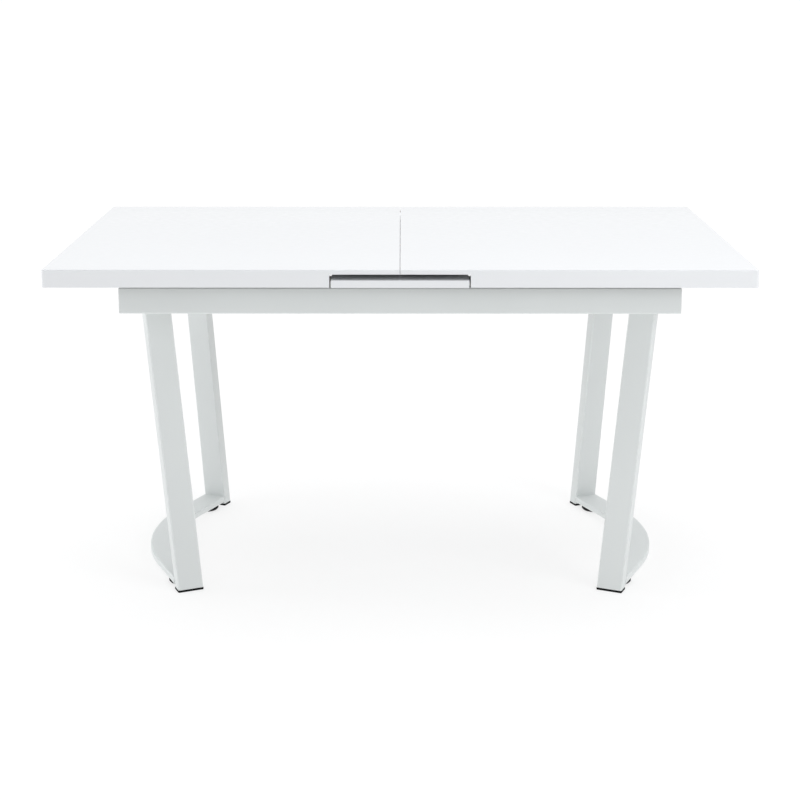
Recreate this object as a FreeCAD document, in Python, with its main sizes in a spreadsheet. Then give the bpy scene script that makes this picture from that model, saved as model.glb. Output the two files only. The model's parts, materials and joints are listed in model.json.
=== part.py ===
import FreeCAD, Part
import math
import os

import Sketcher

# Extendable dining table: two white top halves on synchronised slides over a
# steel frame, four splayed legs, two bowed base bars and a leaf stored inside.
# Millimetres.  X runs along the table, Y across it, Z up; the origin is on the
# floor under the middle of the table.

doc = FreeCAD.newDocument("extendable_dining_table")
sheet = doc.addObject("Spreadsheet::Sheet", "Sizes")


class Dim:
    """A number together with the spreadsheet expression that drives it."""

    def __init__(self, value, text):
        self.value = float(value)
        self.text = text

    def __add__(self, other):
        other = dim(other)
        return Dim(self.value + other.value, "(%s + %s)" % (self.text, other.text))

    def __radd__(self, other):
        return dim(other) + self

    def __sub__(self, other):
        other = dim(other)
        return Dim(self.value - other.value, "(%s - %s)" % (self.text, other.text))

    def __rsub__(self, other):
        return dim(other) - self

    def __mul__(self, other):
        other = dim(other)
        return Dim(self.value * other.value, "(%s * %s)" % (self.text, other.text))

    def __rmul__(self, other):
        return dim(other) * self

    def __truediv__(self, other):
        other = dim(other)
        return Dim(self.value / other.value, "(%s / %s)" % (self.text, other.text))

    def __neg__(self):
        return Dim(-self.value, "(0 - %s)" % self.text)


def dim(value):
    if isinstance(value, Dim):
        return value
    return Dim(value, "(%.6f)" % value)


def cosine(angle):
    return Dim(math.cos(math.radians(angle.value)), "cos(%s * 1 deg)" % angle.text)


def sine(angle):
    return Dim(math.sin(math.radians(angle.value)), "sin(%s * 1 deg)" % angle.text)


rows = []


def size(alias, value, note):
    row = len(rows) + 1
    rows.append(alias)
    sheet.set("A%d" % row, alias)
    sheet.set("B%d" % row, "%g" % value)
    sheet.set("C%d" % row, note)
    sheet.setAlias("B%d" % row, alias)
    return Dim(value, "Sizes.%s" % alias)


# ---------------------------------------------------------------- sizes
top_length = size("top_length", 1500.0, "closed length of the top")
top_width = size("top_width", 900.0, "width of the top")
table_height = size("table_height", 760.0, "floor to top surface")
slab_thickness = size("slab_thickness", 10.0, "top board above the routed recess")
rim_width = size("rim_width", 40.0, "thick rim left around the recess")
seam_gap = size("seam_gap", 1.0, "gap between the closed halves")
edge_round = size("edge_round", 3.0, "rounding of the top edges")
corner_round = size("corner_round", 6.0, "outer corners of the top, in plan")
notch_round = size("notch_round", 4.0, "upper corners of the leaf opening")

leaf_width = size("leaf_width", 290.0, "extension leaf, along the table")
leaf_thickness = size("leaf_thickness", 16.0, "extension leaf board")
leaf_side_gap = size("leaf_side_gap", 3.0, "leaf to rim, each side")
leaf_headroom = size("leaf_headroom", 3.0, "stored leaf to the ledges above")
pad_thickness = size("pad_thickness", 1.5, "stored leaf above the slide seats")
guide_gap = size("guide_gap", 0.6, "leaf to side guide")

frame_inset_x = size("frame_inset_x", 156.0, "top end to frame end")
frame_inset_y = size("frame_inset_y", 28.0, "top edge to frame face")
rail_height = size("rail_height", 56.0, "frame tube height")
rail_drop = size("rail_drop", 4.0, "rail top below the slide seats")
rail_width = size("rail_width", 40.0, "frame tube width")
tube_wall = size("tube_wall", 2.0, "wall of every tube")
tube_round = size("tube_round", 3.0, "outer corner radius of the tubes")
frame_gap = size("frame_gap", 2.0, "air between frame and top rim")
cross_height = size("cross_height", 30.0, "low cross tube height")
cross_reach = size("cross_reach", 200.0, "cross tube centre from the middle")
seat_width = size("seat_width", 50.0, "slide seat angle, horizontal flange")
sheet_metal = size("sheet_metal", 3.0, "angle, strip and bracket thickness")
strip_width = size("strip_width", 60.0, "strip that carries the pinion")
plate_thickness = size("plate_thickness", 6.0, "corner plate over each leg")
plate_margin = size("plate_margin", 31.0, "corner plate beyond the leg section")

leg_width = size("leg_width", 58.0, "leg tube, broad side")
leg_depth = size("leg_depth", 30.0, "leg tube, narrow side")
leg_turn = size("leg_turn", 24.0, "turn of the leg section in plan, degrees")
leg_inset_x = size("leg_inset_x", 66.0, "frame end to leg head centre")
leg_inset_y = size("leg_inset_y", 82.0, "frame face to leg head centre")
leg_splay_x = size("leg_splay_x", 52.0, "foot stands in from the head, along")
leg_splay_y = size("leg_splay_y", 34.0, "foot stands in from the head, across")
leg_cap = size("leg_cap", 8.0, "solid head of the leg tube")
bolt_spacing = size("bolt_spacing", 30.0, "two bolts in each leg head")
bolt_size = size("bolt_size", 8.0, "leg bolt diameter")
foot_height = size("foot_height", 5.0, "plastic sole under each leg")
foot_plug = size("foot_plug", 15.0, "foot plug up inside the leg")
bar_width = size("bar_width", 60.0, "base bar tube, lying flat")
bar_height = size("bar_height", 15.0, "base bar tube height")
bar_radius = size("bar_radius", 430.0, "bend of the base bar, centre line")
glide_diameter = size("glide_diameter", 58.0, "round glide under the base bar")
glide_height = size("glide_height", 10.0, "floor to the base bar")
glide_inset = size("glide_inset", 40.0, "glide centre from the leg face")

channel_inset = size("channel_inset", 25.0, "leaf edge to fixed channel")
channel_margin = size("channel_margin", 7.0, "channel end to frame end")
channel_width = size("channel_width", 30.0, "fixed channel, outside")
channel_height = size("channel_height", 12.0, "fixed channel, outside")
channel_wall = size("channel_wall", 1.5, "fixed channel sheet")
channel_lap = size("channel_lap", 3.0, "channel in from the seat's free edge")
slide_extra = size("slide_extra", 5.0, "travel beyond half a leaf width")
runner_inset = size("runner_inset", 10.0, "channel start to moving rail")
runner_short = size("runner_short", 30.0, "moving rail end to channel end")
runner_flange = size("runner_flange", 30.0, "moving rail, upper flange")
runner_sheet = size("runner_sheet", 2.0, "moving rail, flange thickness")
runner_web = size("runner_web", 8.0, "moving rail, web thickness")
lip_gap = size("lip_gap", 3.0, "web to channel lip, each side")
skate_length = size("skate_length", 30.0, "nylon skate in the channel")
skate_gap = size("skate_gap", 0.5, "skate above the channel floor")
skate_play = size("skate_play", 1.0, "skate to channel side and lip")

gear_module = size("gear_module", 1.5, "rack and pinion module")
gear_teeth = size("gear_teeth", 20.0, "teeth of the pinion")
gear_height = size("gear_height", 12.0, "pinion and rack height")
rack_back = size("rack_back", 10.0, "rack depth behind the pitch line")
rack_overrun = size("rack_overrun", 20.0, "rack past the pinion at full travel")
rack_lift = size("rack_lift", 1.0, "rack above the pinion strip")
bracket_inset = size("bracket_inset", 15.0, "leaf edge to rack bracket")
bracket_length = size("bracket_length", 40.0, "rack bracket along the table")
bracket_flange = size("bracket_flange", 30.0, "rack bracket under the slab")
batten_width = size("batten_width", 40.0, "stiffening batten")
batten_height = size("batten_height", 16.0, "stiffening batten")
batten_gap = size("batten_gap", 5.0, "bracket to batten, channel flange to batten")
ledge_width = size("ledge_width", 30.0, "leaf ledge bracket")
ledge_reach = size("ledge_reach", 18.0, "ledge past the seam")
dowel_diameter = size("dowel_diameter", 5.0, "seam dowels")
dowel_drop = size("dowel_drop", 5.0, "dowel centre below the top surface")
dowel_depth = size("dowel_depth", 12.0, "dowel hole depth")
dowel_reach = size("dowel_reach", 8.0, "dowel past the seam")
dowel_play = size("dowel_play", 0.2, "dowel to hole wall")
screw_shank = size("screw_shank", 4.0, "wood screw and rivet diameter")
screw_head = size("screw_head", 7.0, "wood screw and rivet head")
screw_reach = size("screw_reach", 7.0, "wood screw in the slab")

doc.recompute()

# Worked out from the sizes above.
edge_height = 2 * leaf_thickness + sheet_metal + leaf_headroom
frame_length = top_length - 2 * frame_inset_x
frame_width = top_width - 2 * frame_inset_y
notch_width = leaf_width + 2 * leaf_side_gap
slide_travel = leaf_width / 2 + slide_extra

FRAME_TOP = table_height - edge_height - frame_gap
RAIL_TOP = FRAME_TOP - rail_drop
FRAME_LOW = RAIL_TOP - rail_height
SLAB_LOW = table_height - slab_thickness
RIM_LOW = table_height - edge_height
LEAF_LOW = FRAME_TOP + pad_thickness
STRIP_LOW = FRAME_LOW + cross_height
RACK_LOW = STRIP_LOW + sheet_metal + rack_lift
LEDGE_TOP = table_height - leaf_thickness

HALF_L = frame_length / 2
HALF_W = frame_width / 2
INNER_L = HALF_L - rail_width
INNER_W = HALF_W - rail_width
RIM_INNER = top_width / 2 - rim_width

slide_offset = INNER_W - seat_width + channel_width / 2 + channel_lap
channel_start = leaf_width / 2 + channel_inset
channel_end = HALF_L - channel_margin
channel_length = channel_end - channel_start
channel_slot = runner_web + 2 * lip_gap
runner_start = channel_start + runner_inset
runner_end = channel_end - runner_short
runner_length = runner_end - runner_start
skate_width = channel_width - 2 * channel_wall - 2 * skate_play
skate_height = channel_height - 2 * channel_wall - skate_gap - skate_play
skate_low = FRAME_TOP + channel_wall + skate_gap
skate_outer = channel_end - channel_wall - slide_travel - 3.5 - skate_length
bracket_start = leaf_width / 2 + bracket_inset

leg_head_x = HALF_L - leg_inset_x
leg_head_y = HALF_W - leg_inset_y
leg_foot_x = leg_head_x - leg_splay_x
leg_foot_y = leg_head_y - leg_splay_y

RIVET_ROWS = (channel_start + 80, channel_end - 90)
DOWEL_ROWS = (dim(115.0), top_width / 2 - 50)
LEDGE_ROWS = (-(RIM_INNER - 80), dim(-60.0), RIM_INNER - 200)

parts = {}


# ---------------------------------------------------------------- helpers
def bind(target, prop, value):
    value = dim(value)
    target.setExpression(prop, value.text)


def place(target, low):
    for axis, value in zip("xyz", low):
        bind(target, "Placement.Base.%s" % axis, value)


def keep(label, target):
    target.Label = label
    parts[label] = target
    return target


def block(name, low, extent):
    box = doc.addObject("Part::Box", name)
    for prop, value in zip(("Length", "Width", "Height"), extent):
        bind(box, prop, value)
    place(box, low)
    return box


def rod(name, centre, radius, height):
    cylinder = doc.addObject("Part::Cylinder", name)
    bind(cylinder, "Radius", radius)
    bind(cylinder, "Height", height)
    place(cylinder, centre)
    return cylinder


def less(name, base, *tools):
    tool = tools[0]
    if len(tools) > 1:
        tool = doc.addObject("Part::MultiFuse", name + "_tools")
        tool.Shapes = list(tools)
    cut = doc.addObject("Part::Cut", name)
    cut.Base = base
    cut.Tool = tool
    return cut


def join(name, *pieces):
    fuse = doc.addObject("Part::MultiFuse", name)
    fuse.Shapes = list(pieces)
    fuse.Refine = True
    return fuse


def group(label, solids):
    holder = doc.addObject("Part::Feature", label)
    holder.Shape = Part.makeCompound(solids)
    return keep(label, holder)


def new_body(label):
    body = doc.addObject("PartDesign::Body", label)
    return keep(label, body)


def origin_plane(body, role):
    for feature in body.Origin.OriginFeatures:
        if feature.Role == role:
            return feature
    raise ValueError(role)


def sketch_on(body, role, name, lift=None):
    sketch = body.newObject("Sketcher::SketchObject", name)
    sketch.AttachmentSupport = [(origin_plane(body, role), "")]
    sketch.MapMode = "FlatFace"
    if lift is not None:
        bind(sketch, "AttachmentOffset.Base.z", lift)
    return sketch


def fix_point(sketch, geometry, point, x, y):
    for kind, value in (("DistanceX", x), ("DistanceY", y)):
        value = dim(value)
        rule = Sketcher.Constraint(kind, geometry, point, value.value)
        number = sketch.addConstraint(rule)
        sketch.setExpression("Constraints[%d]" % number, value.text)


def flat(x, y):
    return FreeCAD.Vector(dim(x).value, dim(y).value, 0)


def outline(sketch, corners):
    """Closed outline.  A corner may carry (centre x, centre y, radius, way)
    for an arc that runs from it to the next corner."""
    start = sketch.GeometryCount
    count = len(corners)
    for index in range(count):
        here = corners[index]
        there = corners[(index + 1) % count]
        a = flat(here[0], here[1])
        b = flat(there[0], there[1])
        if len(here) == 2:
            sketch.addGeometry(Part.LineSegment(a, b), False)
            continue
        middle = flat(here[2], here[3])
        circle = Part.Circle(middle, FreeCAD.Vector(0, 0, 1), dim(here[4]).value)
        first = math.atan2(a.y - middle.y, a.x - middle.x)
        last = math.atan2(b.y - middle.y, b.x - middle.x)
        if here[5] < 0:
            first, last = last, first
        sketch.addGeometry(Part.ArcOfCircle(circle, first, last), False)
    for index in range(count):
        here = corners[index]
        after = corners[(index + 1) % count]
        tail = 1 if len(here) > 2 and here[5] < 0 else 2
        nose = 2 if len(after) > 2 and after[5] < 0 else 1
        joint = (start + index, tail, start + (index + 1) % count, nose)
        sketch.addConstraint(Sketcher.Constraint("Coincident", *joint))
    for index, corner in enumerate(corners):
        nose = 2 if len(corner) > 2 and corner[5] < 0 else 1
        fix_point(sketch, start + index, nose, corner[0], corner[1])
        if len(corner) > 2:
            radius = dim(corner[4])
            rule = Sketcher.Constraint("Radius", start + index, radius.value)
            number = sketch.addConstraint(rule)
            sketch.setExpression("Constraints[%d]" % number, radius.text)


def ring(sketch, x, y, radius):
    """Circle with a bound centre and radius."""
    radius = dim(radius)
    circle = Part.Circle(flat(x, y), FreeCAD.Vector(0, 0, 1), radius.value)
    number = sketch.addGeometry(circle, False)
    fix_point(sketch, number, 3, x, y)
    rule = Sketcher.Constraint("Radius", number, radius.value)
    mark = sketch.addConstraint(rule)
    sketch.setExpression("Constraints[%d]" % mark, radius.text)


def rectangle(x0, y0, x1, y1):
    return [(x0, y0), (x1, y0), (x1, y1), (x0, y1)]


def add(body, sketch, length, name="Pad"):
    feature = body.newObject("PartDesign::Pad", name)
    feature.Profile = sketch
    bind(feature, "Length", length)
    sketch.Visibility = False
    return feature


def take(body, sketch, length, name="Pocket", upward=False):
    feature = body.newObject("PartDesign::Pocket", name)
    feature.Profile = sketch
    bind(feature, "Length", length)
    feature.Reversed = upward
    sketch.Visibility = False
    return feature


def take_both_ways(body, sketch, length, name="Pocket"):
    feature = take(body, sketch, length, name)
    feature.Midplane = True
    return feature


def slant(feature, direction):
    feature.UseCustomVector = True
    feature.Direction = direction
    feature.AlongSketchNormal = True


def soften(body, feature, radius, wanted, name="Fillet"):
    """Round the edges of the last feature that the wanted test picks."""
    doc.recompute()
    names = []
    for number, edge in enumerate(feature.Shape.Edges, start=1):
        if wanted(edge):
            names.append("Edge%d" % number)
    if not names:
        raise ValueError("no edge to round in " + body.Label)
    fillet = body.newObject("PartDesign::Fillet", name)
    fillet.Base = (feature, names)
    bind(fillet, "Radius", radius)
    return fillet


def runs_along(edge, axis, least):
    a = edge.Vertexes[0].Point
    b = edge.Vertexes[-1].Point
    step = b - a
    return abs(getattr(step, axis)) > least and edge.Length < 1.02 * step.Length


def upright(x, y, z0, z1, radius):
    return Part.makeCylinder(radius, z1 - z0, FreeCAD.Vector(x, y, z0))


def spin(shape, half_turn):
    """A copy, turned half a turn about the table's middle when asked."""
    copy = shape.copy()
    if half_turn:
        middle = FreeCAD.Vector(0, 0, 0)
        copy.rotate(middle, FreeCAD.Vector(0, 0, 1), 180)
    return copy


def turned(name, source):
    """The same piece half a turn round the table's middle."""
    feature = doc.addObject("Part::Feature", name)
    feature.Shape = source.Shape.copy()
    feature.Placement = FreeCAD.Placement(
        FreeCAD.Vector(0, 0, 0), FreeCAD.Rotation(FreeCAD.Vector(0, 0, 1), 180)
    ).multiply(source.Placement)
    return keep(name, feature)


# ---------------------------------------------------------------- steel frame
for side, name in ((-1, "front_rail"), (1, "rear_rail")):
    body = new_body(name)
    plan = sketch_on(body, "XY_Plane", name + "_plan")
    outer = side * HALF_W
    inner = side * (HALF_W - rail_width)
    outline(plan, [
        (-HALF_L, outer),
        (HALF_L, outer),
        (HALF_L - rail_width, inner),
        (-HALF_L + rail_width, inner),
    ])
    solid = add(body, plan, rail_height)
    solid = soften(body, solid, tube_round, lambda e: runs_along(e, "x", 500))
    bore = sketch_on(body, "YZ_Plane", name + "_bore")
    y0 = side * (HALF_W - tube_wall)
    y1 = side * (HALF_W - rail_width + tube_wall)
    outline(bore, rectangle(y0, tube_wall, y1, rail_height - tube_wall))
    take_both_ways(body, bore, frame_length + 10)
    place(body, (0, 0, FRAME_LOW))

for side, name in ((-1, "left_end_rail"), (1, "right_end_rail")):
    body = new_body(name)
    plan = sketch_on(body, "XY_Plane", name + "_plan")
    outer = side * HALF_L
    inner = side * (HALF_L - rail_width)
    outline(plan, [
        (outer, -HALF_W),
        (outer, HALF_W),
        (inner, HALF_W - rail_width),
        (inner, -HALF_W + rail_width),
    ])
    solid = add(body, plan, rail_height)
    solid = soften(body, solid, tube_round, lambda e: runs_along(e, "y", 500))
    bore = sketch_on(body, "XZ_Plane", name + "_bore")
    x0 = side * (HALF_L - tube_wall)
    x1 = side * (HALF_L - rail_width + tube_wall)
    outline(bore, rectangle(x0, tube_wall, x1, rail_height - tube_wall))
    take_both_ways(body, bore, frame_width + 10)
    place(body, (0, 0, FRAME_LOW))

for side, name in ((-1, "left_cross_tube"), (1, "right_cross_tube")):
    low_x = side * cross_reach - rail_width / 2
    outer = block(
        name + "_outside",
        (low_x, -INNER_W, FRAME_LOW),
        (rail_width, 2 * INNER_W, cross_height),
    )
    inner = block(
        name + "_inside",
        (low_x + tube_wall, -INNER_W - 5, FRAME_LOW + tube_wall),
        (rail_width - 2 * tube_wall, 2 * INNER_W + 10, cross_height - 2 * tube_wall),
    )
    keep(name, less(name, outer, inner))

for side, name in ((-1, "front_seat_angle"), (1, "rear_seat_angle")):
    far = side * INNER_W
    near = side * (INNER_W - seat_width)
    low_y = far if side < 0 else near
    web_y = far if side < 0 else far - sheet_metal
    shelf = block(
        name + "_shelf",
        (-INNER_L, low_y, FRAME_TOP - sheet_metal),
        (2 * INNER_L, seat_width, sheet_metal),
    )
    web = block(
        name + "_web",
        (-INNER_L, web_y, STRIP_LOW),
        (2 * INNER_L, sheet_metal, FRAME_TOP - STRIP_LOW),
    )
    angle = join(name + "_profile", shelf, web)
    holes = []
    for row in RIVET_ROWS:
        for way in (-1, 1):
            holes.append(rod(
                "%s_hole_%d" % (name, len(holes)),
                (way * row, side * slide_offset, FRAME_TOP - sheet_metal - 1),
                screw_shank / 2 + 0.05,
                sheet_metal + 2,
            ))
    keep(name, less(name, angle, *holes))

pin_radius = 4.0
strip = block(
    "pinion_strip_blank",
    (-cross_reach - rail_width / 2, -strip_width / 2, STRIP_LOW),
    (2 * cross_reach + rail_width, strip_width, sheet_metal),
)
strip_hole = rod("pinion_strip_hole", (0, 0, STRIP_LOW - 1), pin_radius, sheet_metal + 2)
keep("pinion_strip", less("pinion_strip", strip, strip_hole))

pin_top = RACK_LOW + gear_height + 0.4
shank = rod("pinion_pin_shank", (0, 0, STRIP_LOW), pin_radius, pin_top - STRIP_LOW)
head = rod("pinion_pin_head", (0, 0, pin_top), 8, 2)
foot = rod("pinion_pin_foot", (0, 0, STRIP_LOW - 3), 7, 3)
keep("pinion_pin", join("pinion_pin", shank, head, foot))


# ---------------------------------------------------------------- legs and base
TURN_C = cosine(leg_turn)
TURN_S = sine(leg_turn)
LEG_RISE = FRAME_LOW - foot_height
CORNERS = (
    ("front_left", -1, -1),
    ("front_right", 1, -1),
    ("rear_left", -1, 1),
    ("rear_right", 1, 1),
)


def leg_plan(sx, sy, half_u, half_v, corner):
    """Turned, rounded rectangle round the foot centre of one table corner."""

    def spot(u, v):
        x = leg_foot_x + u * TURN_C - v * TURN_S
        y = leg_foot_y + u * TURN_S + v * TURN_C
        return (sx * x, sy * y)

    points = []
    for i, j in ((-1, -1), (1, -1), (1, 1), (-1, 1)):
        beside = spot(i * half_u, j * (half_v - corner))
        along = spot(i * (half_u - corner), j * half_v)
        middle = spot(i * (half_u - corner), j * (half_v - corner))
        first, last = (beside, along) if i * j > 0 else (along, beside)
        points.append(first + middle + (corner, sx * sy))
        points.append(last)
    return points


def bolt_spots(sx, sy):
    spots = []
    for way in (-1, 1):
        x = leg_head_x + way * bolt_spacing / 2 * TURN_C
        y = leg_head_y + way * bolt_spacing / 2 * TURN_S
        spots.append((sx * x, sy * y))
    return spots


bolts = []
for corner, sx, sy in CORNERS:
    rise = FreeCAD.Vector(
        sx * (leg_head_x.value - leg_foot_x.value),
        sy * (leg_head_y.value - leg_foot_y.value),
        LEG_RISE.value,
    )
    name = "leg_" + corner
    body = new_body(name)
    plan = sketch_on(body, "XY_Plane", name + "_plan")
    outline(plan, leg_plan(sx, sy, leg_width / 2, leg_depth / 2, tube_round))
    solid = add(body, plan, LEG_RISE)
    slant(solid, rise)
    bore = sketch_on(body, "XY_Plane", name + "_bore")
    half_u = leg_width / 2 - tube_wall
    half_v = leg_depth / 2 - tube_wall
    outline(bore, leg_plan(sx, sy, half_u, half_v, tube_round - tube_wall))
    hollow = take(body, bore, LEG_RISE - leg_cap, name + "_hollow")
    slant(hollow, rise)
    threads = sketch_on(body, "XY_Plane", name + "_threads", LEG_RISE)
    for x, y in bolt_spots(sx, sy):
        ring(threads, x, y, bolt_size / 2)
    take(body, threads, leg_cap + 4, name + "_tapping")
    place(body, (0, 0, foot_height))

    name = "foot_" + corner
    body = new_body(name)
    sole = sketch_on(body, "XY_Plane", name + "_sole")
    outline(sole, leg_plan(sx, sy, leg_width / 2 + 0.5, leg_depth / 2 + 0.5, tube_round))
    add(body, sole, foot_height)
    plug = sketch_on(body, "XY_Plane", name + "_plug", foot_height)
    half_u = leg_width / 2 - tube_wall - 0.2
    half_v = leg_depth / 2 - tube_wall - 0.2
    outline(plug, leg_plan(sx, sy, half_u, half_v, tube_round - tube_wall))
    stem = add(body, plug, foot_plug, name + "_stem")
    slant(stem, rise)

    name = "corner_plate_" + corner
    plate_length = INNER_L - leg_head_x + leg_width / 2 * TURN_C + plate_margin
    plate_depth = INNER_W - leg_head_y + leg_width / 2 * TURN_S + plate_margin
    low_x = INNER_L - plate_length if sx > 0 else -INNER_L
    low_y = INNER_W - plate_depth if sy > 0 else -INNER_W
    plate = block(
        name + "_blank",
        (low_x, low_y, FRAME_LOW),
        (plate_length, plate_depth, plate_thickness),
    )
    holes = []
    for number, (x, y) in enumerate(bolt_spots(sx, sy)):
        spot = (x, y, FRAME_LOW - 1)
        tag = "%s_hole_%d" % (name, number)
        holes.append(rod(tag, spot, bolt_size / 2 + 0.2, plate_thickness + 2))
        top = FRAME_LOW.value + plate_thickness.value
        low = FRAME_LOW.value - leg_cap.value
        centre = (x.value, y.value)
        stud = upright(centre[0], centre[1], low, top, bolt_size.value / 2)
        hexagon = [
            FreeCAD.Vector(
                centre[0] + 7.5 * math.cos(math.radians(60 * k)),
                centre[1] + 7.5 * math.sin(math.radians(60 * k)),
                top,
            )
            for k in range(7)
        ]
        cap = Part.Face(Part.makePolygon(hexagon)).extrude(FreeCAD.Vector(0, 0, 5.3))
        bolts.append(stud.fuse(cap).removeSplitter())
    keep(name, less(name, plate, *holes))
group("leg_bolts", bolts)

# The bowed bar leaves the broad inner face of each leg square to it, bends
# about a centre on the table's long axis and ends on the other leg.
BAR_RISE = (glide_height - foot_height) / LEG_RISE
START_X = leg_foot_x + leg_splay_x * BAR_RISE + leg_depth / 2 * TURN_S
START_Y = leg_foot_y + leg_splay_y * BAR_RISE - leg_depth / 2 * TURN_C
BEND_Y = bar_radius * TURN_S
BEND_X = START_X + (START_Y - BEND_Y) * TURN_S / TURN_C
BEND_CENTRE = BEND_X - bar_radius * TURN_C


def bar_plan(side, half):
    """Band of the given half width along the bowed centre line."""
    out_r = bar_radius + half
    in_r = bar_radius - half
    rims = []
    for way in (-1, 1):
        ends = []
        for radial in ((half, out_r), (-half, in_r)):
            near = (START_X + radial[0] * TURN_C, START_Y + radial[0] * TURN_S)
            bend = (BEND_CENTRE + radial[1] * TURN_C, radial[1] * TURN_S)
            ends.append((near, bend))
        rims.append((way, ends))
    (near_o, bend_o), (near_i, bend_i) = rims[0][1]

    def spot(point, way):
        return (side * point[0], way * point[1])

    middle = (side * BEND_CENTRE, dim(0))
    return [
        spot(near_o, -1),
        spot(bend_o, -1) + middle + (out_r, side),
        spot(bend_o, 1),
        spot(near_o, 1),
        spot(near_i, 1),
        spot(bend_i, 1) + middle + (in_r, -side),
        spot(bend_i, -1),
        spot(near_i, -1),
    ]


GLIDE_X = START_X + glide_inset * TURN_S
GLIDE_Y = START_Y - glide_inset * TURN_C
glides = []
for side, name in ((-1, "left_base_bar"), (1, "right_base_bar")):
    body = new_body(name)
    plan = sketch_on(body, "XY_Plane", name + "_plan")
    outline(plan, bar_plan(side, bar_width / 2))
    solid = add(body, plan, bar_height)
    rim = bar_width.value * 1.5

    def long_flat(edge):
        box = edge.BoundBox
        return box.ZLength < 0.01 and edge.Length > rim

    solid = soften(body, solid, tube_round, long_flat)
    bore = sketch_on(body, "XY_Plane", name + "_bore", tube_wall)
    outline(bore, bar_plan(side, bar_width / 2 - tube_wall))
    take(body, bore, bar_height - 2 * tube_wall, name + "_hollow", upward=True)
    holes = sketch_on(body, "XY_Plane", name + "_holes")
    for way in (-1, 1):
        x = side * GLIDE_X
        y = way * GLIDE_Y
        ring(holes, x, y, 4.0)
        centre = (x.value, y.value)
        tall = glide_height.value
        wide = glide_diameter.value / 2
        tread = FreeCAD.Vector(centre[0], centre[1], 0)
        disc = Part.makeCone(wide - tall * 0.4, wide, tall * 0.4, tread)
        disc = disc.fuse(upright(*centre, tall * 0.4, tall, wide))
        stem = upright(*centre, tall - 1, tall + 9, 3.9)
        glides.append(disc.fuse(stem).removeSplitter())
    take(body, holes, tube_wall + 1, name + "_drilling", upward=True)
    place(body, (0, 0, glide_height))
group("base_glides", glides)


# ---------------------------------------------------------------- fixed slides
rivets = []
for corner, sx, sy in CORNERS:
    name = "slide_channel_" + corner
    low_x = channel_start if sx > 0 else -channel_end
    mid_y = sy * slide_offset
    low_y = mid_y - channel_width / 2
    blank = block(
        name + "_blank",
        (low_x, low_y, FRAME_TOP),
        (channel_length, channel_width, channel_height),
    )
    inside = block(
        name + "_inside",
        (low_x - 5, low_y + channel_wall, FRAME_TOP + channel_wall),
        (
            channel_length + 10,
            channel_width - 2 * channel_wall,
            channel_height - 2 * channel_wall,
        ),
    )
    slot = block(
        name + "_slot",
        (low_x - 5, mid_y - channel_slot / 2, FRAME_TOP + channel_wall),
        (channel_length + 10, channel_slot, channel_height),
    )
    holes = []
    for row in RIVET_ROWS:
        spot = (sx * row, mid_y, FRAME_TOP - 1)
        tag = "%s_hole_%d" % (name, len(holes))
        holes.append(rod(tag, spot, screw_shank / 2 + 0.05, channel_wall + 2))
        low = FRAME_TOP.value - sheet_metal.value
        top = FRAME_TOP.value + channel_wall.value
        x = sx * row.value
        shank = upright(x, mid_y.value, low, top, screw_shank.value / 2)
        head = upright(x, mid_y.value, low - 1.5, low, screw_head.value / 2)
        rivets.append(shank.fuse(head).removeSplitter())
    section = less(name + "_section", blank, inside, slot, *holes)
    stop_x = sx * channel_end
    low_stop = stop_x - channel_wall if sx > 0 else stop_x
    stop = block(
        name + "_stop",
        (low_stop, low_y + channel_wall, FRAME_TOP + channel_wall),
        (channel_wall, channel_width - 2 * channel_wall, skate_height),
    )
    keep(name, join(name, section, stop))
group("channel_rivets", rivets)

pads = []
guides = []
for sy in (-1, 1):
    middle = sy * (HALF_W.value - rail_width.value / 2)
    wide = leaf_width.value - 20
    low = FreeCAD.Vector(-wide / 2, middle - 15, RAIL_TOP.value)
    tall = LEAF_LOW.value - RAIL_TOP.value
    pads.append(Part.makeBox(wide, 30, tall, low))
    for sx in (-1, 1):
        near = leaf_width.value / 2 + guide_gap.value
        low_x = near if sx > 0 else -near - 12
        middle = sy * (RIM_INNER.value - 15)
        low = FreeCAD.Vector(low_x, middle - 10, RAIL_TOP.value)
        tall = LEAF_LOW.value + leaf_thickness.value - 2.5 - RAIL_TOP.value
        guides.append(Part.makeBox(12, 20, tall, low))
group("leaf_pads", pads)
group("leaf_guides", guides)


# ---------------------------------------------------------------- rack, pinion
PITCH_R = gear_module * gear_teeth / 2
PITCH = math.pi * gear_module.value
PRESSURE = math.radians(20)


def pinion_outline():
    """Involute teeth, one of them pointing straight to -Y."""
    teeth = int(gear_teeth.value)
    module = gear_module.value
    pitch = PITCH_R.value
    base = pitch * math.cos(PRESSURE)
    tip = pitch + module
    root = pitch - 1.25 * module
    slack = 0.1 / pitch

    def roll(radius):
        if radius <= base:
            return 0.0
        angle = math.acos(base / radius)
        return math.tan(angle) - angle

    half = math.pi / (2 * teeth) - slack / 2 + roll(pitch)
    radii = [base + (tip - base) * k / 8 for k in range(9)]
    points = []
    for tooth in range(teeth):
        centre = -math.pi / 2 + 2 * math.pi * tooth / teeth
        flank = [(root, -half)] + [(r, -half + roll(r)) for r in radii]
        mirror = [(r, -a) for r, a in reversed(flank)]
        for radius, angle in flank + mirror:
            x = radius * math.cos(centre + angle)
            y = radius * math.sin(centre + angle)
            points.append(FreeCAD.Vector(x, y, RACK_LOW.value))
    return points + [points[0]]


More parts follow.
